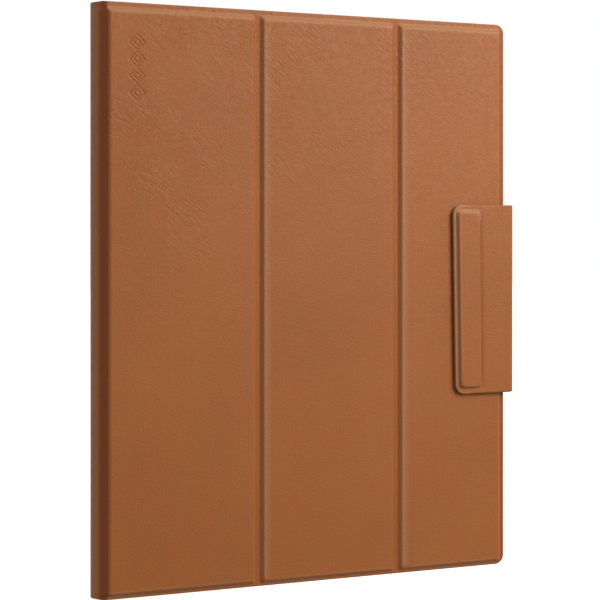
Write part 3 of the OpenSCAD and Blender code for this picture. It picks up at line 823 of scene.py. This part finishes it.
# %% Back cover
back = span("back_leather")
back_board = span("back_board")
tail = span("strap_tail")
back_roll_out, back_roll_in = 0.8, 0.5
us = spread(edge_u, cover_w, grid_step)
us = np.concatenate([us[us < cover_w - cover_r], cover_w - corner_steps(cover_r),
                     walls(*back_board[:2])])
zs = spread(0, cover_h, grid_step, back_roll_out)
zs = np.concatenate([zs, walls(*back_board[4:], *tail[4:])])
us, zs = np.unique(np.round(us, 4)), np.unique(np.round(zs, 4))
u, z = np.meshgrid(us, zs, indexing="ij")
in_board = np.minimum(np.minimum(u - back_board[0], back_board[1] - u),
                      np.minimum(z - back_board[4], back_board[5] - z))
by_strap = (u > back_board[1]) & (z > tail[4]) & (z < tail[5])
u, z = round_corners(u, z, cover_w, 1, 0, cover_h, cover_r)
inside = -rounded_box(u, z, (edge_u - far + cover_w) / 2, cover_h / 2,
                      (cover_w - edge_u + far) / 2, cover_h / 2, cover_r)
outer_v = rounding(inside, back_roll_out)
inner_v = back[3] - rounding(inside, back_roll_in)
inner_v = np.where(in_board > 0, leather_t, np.where(by_strap, tail[2], inner_v))
mesh = skin("back_skin", spot(u, outer_v, z), spot(u, inner_v, z), leather)
back_skin = show("back_skin", mesh)
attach(back_skin, "back_cover")
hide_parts("back_leather")
print(back_skin.name, len(back_skin.data.polygons), "faces")

# %% [markdown]
# ## Folds, as swept strips
# At a fold there is no board, only leather and lining glued together, so it bends. Each fold is a
# strip swept up the cover, between a line on its outer face and a line on its inner face. Both ends
# are rolled. The strap's side is a strip too.

# %% Swept strips
fold_t = leather_t + lining_t
end_lines = spread(0, cover_h, 6.0, roll_out, end_fine)


def strip(name, outer, inner, zs, inside, split, painted_shade=0.0):
    """A swept strip between two (u, v) lines of equal length, which may change up the cover."""
    lines = [np.asarray(line, float) for line in (outer, inner)]
    outer, inner = (line[:, None] if line.ndim == 2 else line for line in lines)
    outer, inner = (np.broadcast_to(line, (len(line), len(zs), 2)) for line in (outer, inner))
    through = inner - outer
    through = through / np.linalg.norm(through, axis=2, keepdims=True)
    ends = np.minimum(zs - zs[0], zs[-1] - zs)[None, :, None]
    outer = outer + through * rounding(ends, roll_out)
    inner = inner - through * rounding(ends, roll_in)
    mesh = skin(name, spot(outer[..., 0], outer[..., 1], zs),
                spot(inner[..., 0], inner[..., 1], zs), leather, inside, split)
    # Painted shade on the outer face, one amount per point across the strip.
    amount = np.zeros(len(mesh.vertices))
    amount[:outer.shape[0] * len(zs)] = np.repeat(np.broadcast_to(painted_shade, len(outer)), len(zs))
    mark(mesh, "painted_shade", amount)
    return show(name, mesh)


def arc(mid_u, mid_v, radius, start, end, count=16):
    """Points of an arc, with angles from +u towards +v, in degrees."""
    angle = np.radians(np.linspace(start, end, count))
    return np.stack([mid_u + radius * np.cos(angle), mid_v + radius * np.sin(angle)], axis=1)


def evenly(line, count):
    """The same line, with points at equal steps along it."""
    along = np.concatenate([[0], np.cumsum(np.linalg.norm(np.diff(line, axis=0), axis=1))])
    where = np.linspace(0, along[-1], count)
    return np.stack([np.interp(where, along, line[:, side]) for side in (0, 1)], axis=1)


def bends(piece, node, bodies, along, low, high):
    """Bakes a strip in place and hides the CAD fold it stands for; along is its (u, v) direction."""
    along = np.array(along, float)
    start, end = (along * value / along.dot(along) for value in (low, high))
    spot(*start, 0)
    spot(*end, 0)
    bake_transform(piece)
    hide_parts(node)
    print(piece.name, "bends between", *bodies)
    return piece


print("strips have", len(end_lines), "lines up the cover")

# %% [markdown]
# ### The folds beside the spine
# Outside they follow the spine's curve, and inside they keep the tight round of the glued lining, so
# the leather is a little fuller at the shoulder, where on the real cover it stands off the board.

# %% The folds beside the spine
spine_v1 = base_v - fold_r
fold_points = 22


def shoulder_of(line, v):
    """The part of a spine line from the spine's flat to the board's edge, evenly spaced."""
    behind = v < spine_mid
    past_flat = line[:, 1] < v if behind else line[:, 1] > v
    curve = line[past_flat & (line[:, 0] < edge_u)]
    curve = curve[::-1] if behind else curve
    near_end = [[spine_u(line, v), v]]
    far_end = [[edge_u, 0.0 if behind else spine_v(line, edge_u)]]
    return evenly(np.concatenate([near_end, curve, far_end]), fold_points)


def lining_line(mid_v, end_angle, land_v):
    """The inner face of a fold: a quarter round and a short flat land."""
    curve = arc(fold_r, mid_v, fold_r - fold_t, 180, end_angle)
    return evenly(np.concatenate([curve, [[edge_u, land_v]]]), fold_points)


back_fold = strip("back_fold_skin", shoulder_of(full_line, fold_r),
                  lining_line(fold_r, 270, fold_t), end_lines, lining, leather_t / fold_t)
bends(back_fold, "back_fold", ("back_cover", "spine"), (-1, 1), fold_t - edge_u, fold_r - fold_t)

share = raised_share(end_lines)[None, :, None]
front_line = (shoulder_of(full_line, spine_v1)[:, None] * share
              + shoulder_of(rim_line, spine_v1)[:, None] * (1 - share))
# Painted shade on the front fold's slanting shoulder, growing towards the first panel.
darkening = smooth(np.linspace(0.2, 1.8, fold_points)) * np.linspace(1, 0.8, fold_points)
front_fold = strip("front_fold_skin", front_line, lining_line(spine_v1, 90, base_v - fold_t),
                   end_lines, lining, leather_t / fold_t, painted_shade=darkening)
bends(front_fold, "front_fold", ("spine", "front_panel_1"), (1, 1), spine_v1 + fold_t,
      edge_u + base_v - fold_t)

# %% [markdown]
# ### The grooves
# The first groove is nearly flat. The second has been folded more: it has a slight crease beside the
# middle panel, which fades before it reaches the rolled ends. The panels' bevels start a little way
# inside the grooves, so a groove's two sides rise to meet them.

# %% The grooves
groove_dip = {1: 0.03, 2: 0.08}
crease_end = 3.5
crease_reach, darkest, dark_half, dark_dip = 0.55, 0.28, 0.3, 0.5
foot_overlap = foot_gap - (span("panel_2_board")[0] - span("panel_2_leather")[0])
for number, dip_depth in groove_dip.items():
    u0, u1 = span(f"groove_fold_{number}")[:2]
    share = np.linspace(0, 1, 19)
    fade = smooth((np.minimum(end_lines, cover_h - end_lines) - crease_end / 2) / crease_end)
    across_crease = np.sin(math.pi * np.clip(share / crease_reach, 0, 1)) ** 2
    dip = dip_depth * across_crease[:, None] * fade[None, :]
    u = np.broadcast_to((u0 + (u1 - u0) * share)[:, None], dip.shape)
    past_foot = foot_overlap - np.minimum(u - u0, u1 - u)
    rise = (panel_v - base_v) * smooth(past_foot / bevel) * raised_share(end_lines)[None, :]
    outer = np.stack([u, base_v - dip + rise], axis=2)
    inner = np.stack([u, np.full(dip.shape, base_v - fold_t)], axis=2)
    # Painted shade along the crease, as strong as the crease is deep.
    shade = np.clip(1 - np.abs(share - darkest) / dark_half, 0, 1) * dip_depth / dark_dip
    piece = strip(f"groove_skin_{number}", outer, inner, end_lines, lining, leather_t / fold_t,
                  painted_shade=shade)
    bends(piece, f"groove_fold_{number}", (f"front_panel_{number}", f"front_panel_{number + 1}"),
          (1, 0), u0, u1)

# %% [markdown]
# ### The spine
# Its leather lies over a narrow stiff board, which shows inside as the pocket that is left for it.

# %% The spine
board_end = span("spine_board")[4]
spine_zs = np.unique(np.concatenate([end_lines, walls(board_end, cover_h - board_end)]))
v_line = np.linspace(fold_r, spine_v1, 17)
spine_t = span("spine_leather")[1]
v, z = np.meshgrid(v_line, spine_zs, indexing="ij")
ends = np.minimum(z, cover_h - z)
share = raised_share(z)
outer_u = spine_u(full_line, v) * share + spine_u(rim_line, v) * (1 - share)
outer_u = outer_u + rounding(ends, roll_out)
inner_u = np.where(ends < board_end, spine_t - rounding(ends, roll_in), leather_t)
mesh = skin("spine_skin", spot(outer_u, v, z), spot(inner_u, v, z), leather)
spine_skin = show("spine_skin", mesh)
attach(spine_skin, "spine")
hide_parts("spine_leather")
print(spine_skin.name, len(spine_skin.data.polygons), "faces")

# %% [markdown]
# ## The strap
# The strap is two skins glued together: leather outside and dark lining inside, with three flat
# magnets between them under a raised pad. It leaves the back cover, turns up the side, and turns
# again onto the front, where the pad lies. The pad is pressed with the same tree as the panels.

# %% The strap
side = span("strap_side")
flap = span("strap_leather")
strap_in = span("strap_lining")[2]
strap_t = 2 * (span("strap_lining")[3] - strap_in)
flap_out = strap_in + strap_t
z0, z1 = flap[4], flap[5]
strap_zs = spread(z0, z1, grid_step, roll_out)
root_v = (tail[2] + tail[3]) / 2
root_r = side[2] - root_v
root_mid_u = (side[0] + side[1]) / 2 - root_r

outer, inner = (np.concatenate([[[cover_w, start_v]], arc(root_mid_u, side[2], radius, -90, 0)])
                for start_v, radius in ((tail[2], root_r + strap_t / 2),
                                        (tail[3], root_r - strap_t / 2)))
root = strip("strap_root_skin", outer, inner, strap_zs, lining, 0.5)
bends(root, "strap_root_fold", ("back_cover", "strap_side"), (1, 1), cover_w + tail[3],
      side[0] + side[2])

front_r = flap_out - side[3]
outer, inner = (arc(side[1] - front_r, side[3], radius, 0, 90)
                for radius in (front_r, front_r - strap_t))
# Painted shade on the turn-over, strongest at the strap's side.
turn = strip("strap_turn_skin", outer, inner, strap_zs, lining, 0.5,
             painted_shade=np.linspace(0.7, 0.1, len(outer)))
bends(turn, "strap_front_fold", ("strap_side", "strap_flap"), (-1, 1), side[3] - side[0],
      strap_in - flap[1])

v_line = np.linspace(side[2], side[3], 7)
outer, inner = (np.stack([np.full(7, face_u), v_line], axis=1)
                for face_u in (side[1], side[1] - strap_t))
# The strap's side is painted darker: painted shade.
strap_side = strip("strap_side_skin", outer, inner, strap_zs, lining, 0.5, painted_shade=0.6)
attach(strap_side, "strap_side")
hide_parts("strap_side")

pad_inset, pad_bevel, pad_rise = 2.1, 1.5, flap[3] - flap_out
magnets = span("strap_magnets")
pad_u0, pad_u1 = magnets[0] - 1.55, magnets[1] + 0.85
flap_u0, flap_u1 = flap[0] + 0.5, flap[1]
flap_r = 4.5
lean = 0.017
flap_steps = corner_steps(flap_r)
pad_z0, pad_z1 = z0 + pad_inset, z1 - pad_inset
pad_fine = pad_bevel + 0.1
fine_u = [(pad_u0, pad_u0 + pad_fine, fine_step), (pad_u1 - pad_fine, pad_u1, fine_step)]
fine_z = [(pad_z0, pad_z0 + pad_fine, fine_step), (pad_z1 - pad_fine, pad_z1, fine_step)]
us = spread(flap_u0, flap_u1, 2.0, None, fine_u)
us = np.unique(np.round(np.concatenate([us, flap_u0 + flap_steps]), 4))
zs = spread(z0, z1, 4.0, None, fine_z)
zs = np.unique(np.round(np.concatenate([zs, z0 + flap_steps, z1 - flap_steps]), 4))


def thinned(lines, gap=0.02):
    """The same grid lines without those that crowd another."""
    kept = [lines[0]]
    for x in lines[1:-1]:
        if x - kept[-1] > gap and lines[-1] - x > gap:
            kept.append(x)
    return np.array(kept + [lines[-1]])


us, zs = thinned(us), thinned(zs)
u, z = np.meshgrid(us, zs, indexing="ij")
u, z = round_corners(u, z, flap_u0, -1, z0, z1, flap_r)
inside = -rounded_box(u, z, (flap_u0 + flap_u1 + far) / 2, (z0 + z1) / 2,
                      (flap_u1 + far - flap_u0) / 2, (z1 - z0) / 2, flap_r)
mid_v = np.full(u.shape, strap_in + strap_t / 2)


def skewed(mesh):
    """The flap lies slightly askew: its free end leans by about one degree."""
    points = np.empty(len(mesh.vertices) * 3)
    mesh.vertices.foreach_get("co", points)
    points = points.reshape(-1, 3)
    free = np.clip((LEFT + flap_u1 * MM - points[:, 0]) / ((flap_u1 - flap_u0) * MM), 0, 1)
    points[:, 0] -= lean * free * (points[:, 2] - (z0 + z1) / 2 * MM)
    mesh.vertices.foreach_set("co", points.ravel())
    mesh.update()
    return mesh


outer_v = flap_out - rounding(inside, roll_out)
blank = skin("strap_flap_blank", spot(u, outer_v, z), spot(u, mid_v, z), leather)
# The press paints shade round the pad's foot and painted light on its bevels, most on the left.
mesh = pressed("strap_flap_skin", blank, Left=LEFT + pad_u0 * MM, Right=LEFT + pad_u1 * MM,
               Bottom=pad_z0 * MM, Top=pad_z1 * MM, Rise=pad_rise * MM,
               Bevel=pad_bevel * MM, Corner=3.2 * MM, Ironed=0.9, Side_wear=0.7,
               Outward=(0, -1, 0), Material=leather)
# Painted light on the flap's rounded edge, near its free end.
near_edge = smooth((1.1 - inside) / 0.5)
near_free_end = smooth((pad_u0 + 8 - u) / 4)
edge_light = np.zeros(len(mesh.vertices))
edge_light[:u.size] = (near_edge * near_free_end).ravel()
mark(mesh, "painted_light", edge_light)
# The flap's side wall and under face are painted dark: painted shadow of the gap under the flap.
mark(mesh, "painted_shade", np.arange(len(mesh.vertices)) >= u.size)
strap_flap = show("strap_flap_skin", skewed(mesh))
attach(strap_flap, "strap_flap")
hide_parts("strap_leather")
print(strap_flap.name, len(mesh.polygons), "faces")

inner_v = strap_in + rounding(inside, roll_in)
mesh = skin("strap_lining_skin", spot(u, mid_v, z), spot(u, inner_v, z), lining)
strap_inside = show("strap_lining_skin", skewed(mesh))
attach(strap_inside, "strap_flap")
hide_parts("strap_lining")

# %% [markdown]
# ## Finishes of the pieces inside
# The reader and the boards keep their CAD shapes, which are exact, and get a finish each. The
# record says which pieces share a slot, so one table from slot to finish paints them all. After its
# colour, each row gives a roughness, the grain's scale and depth, the colour's drift and, for a
# metal, how metallic it is. The glass is etched to a matte, paper-like face, with a dark printed
# border and a ruled blank page.

# %% Finishes of the pieces inside
finishes = {
    "leather": leather,
    "lining": lining,
    "cover_board": speckled("cover_board", (0.44, 0.38, 0.28), 0.9, 900.0, 0.00012, 0.2),
    "magnet": speckled("nickel_plate", (0.60, 0.59, 0.57), 0.25, 500.0, 0.00001, 0.04, 1.0),
    "keeper": speckled("keeper_steel", (0.46, 0.46, 0.47), 0.38, 900.0, 0.00001, 0.05, 1.0),
    "case": speckled("case_anodised", (0.085, 0.09, 0.10), 0.45, 5000.0, 0.00003, 0.04, 0.8),
    "key": speckled("key_anodised", (0.16, 0.165, 0.175), 0.35, 5000.0, 0.00002, 0.04, 0.9),
    "frame_metal": speckled("cast_alloy", (0.60, 0.61, 0.62), 0.5, 1200.0, 0.00004, 0.06, 1.0),
    "cell": speckled("cell_wrap", (0.045, 0.05, 0.06), 0.4, 700.0, 0.00003, 0.1),
    "flex": speckled("flex_film", (0.50, 0.20, 0.03), 0.3, 900.0, 0.00001, 0.08),
    "circuit": speckled("solder_mask", (0.012, 0.09, 0.04), 0.35, 1800.0, 0.00002, 0.15),
    "chip": speckled("chip_mould", (0.015, 0.015, 0.017), 0.5, 3000.0, 0.00002, 0.1),
    "shield": speckled("tinned_sheet", (0.55, 0.55, 0.56), 0.32, 800.0, 0.00001, 0.05, 1.0),
    "speaker": speckled("speaker_mould", (0.02, 0.02, 0.02), 0.6, 1500.0, 0.00003, 0.1),
    "window": speckled("window_mould", (0.09, 0.095, 0.105), 0.55, 3500.0, 0.00002, 0.05),
    "screw": speckled("zinc_plate", (0.50, 0.50, 0.50), 0.3, 1500.0, 0.00001, 0.05, 1.0),
    "sensor_sheet": speckled("sensor_sheet", (0.30, 0.16, 0.03), 0.4, 600.0, 0.00001, 0.1),
    "paper_panel": speckled("paper_panel", (0.60, 0.60, 0.56), 0.7, 4000.0, 0.00002, 0.04),
    "light_guide": speckled("light_guide", (0.85, 0.87, 0.88), 0.1, 900.0, 0.000005, 0.02),
    "light_bar": speckled("light_bar", (0.82, 0.82, 0.76), 0.4, 900.0, 0.00001, 0.04),
    "gasket": speckled("gasket", (0.02, 0.02, 0.02), 0.8, 1500.0, 0.00003, 0.1),
}
glass = Finish("front_glass", (0.6, 0.6, 0.57), 0.42, specular=0.4)
on_glass = glass.add("SeparateXYZ", Vector=glass.place).outputs
page_low, page_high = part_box("display_panel")
lap, margin = 0.002, 0.012
line_gap, line_half = 0.004, 0.00012
middle = (page_low + page_high) / 2
half = (page_high - page_low) / 2
on_page = glass.sum("MULTIPLY", glass.sum("COMPARE", on_glass["X"], middle.x, half.x - lap),
                    glass.sum("COMPARE", on_glass["Z"], middle.z, half.z - lap))
on_line = glass.sum("LESS_THAN", glass.sum("PINGPONG", on_glass["Z"], line_gap), line_half)
ruled = glass.sum("MULTIPLY", on_line,
                  glass.sum("COMPARE", on_glass["X"], middle.x, half.x - margin))
tooth = glass.blend(glass.noise(3500.0, 2.0), (0.54, 0.54, 0.50), (0.60, 0.60, 0.56))
page = glass.blend(ruled, tooth, (0.30, 0.30, 0.29))
glass.colour(glass.blend(on_page, (0.018, 0.018, 0.020), page))
glass.relief(glass.noise(6000.0, 2.0), 0.00001)
finishes["front_glass"] = glass.material

slot_of = {part["node"]: part["material_slot"] for part in frame["record"]["subparts"]}
for name, piece in frame["nodes"].items():
    piece.data.materials.clear()
    piece.data.materials.append(finishes[slot_of[name]])
print("painted", len(frame["nodes"]), "CAD nodes with", len(finishes), "finishes")
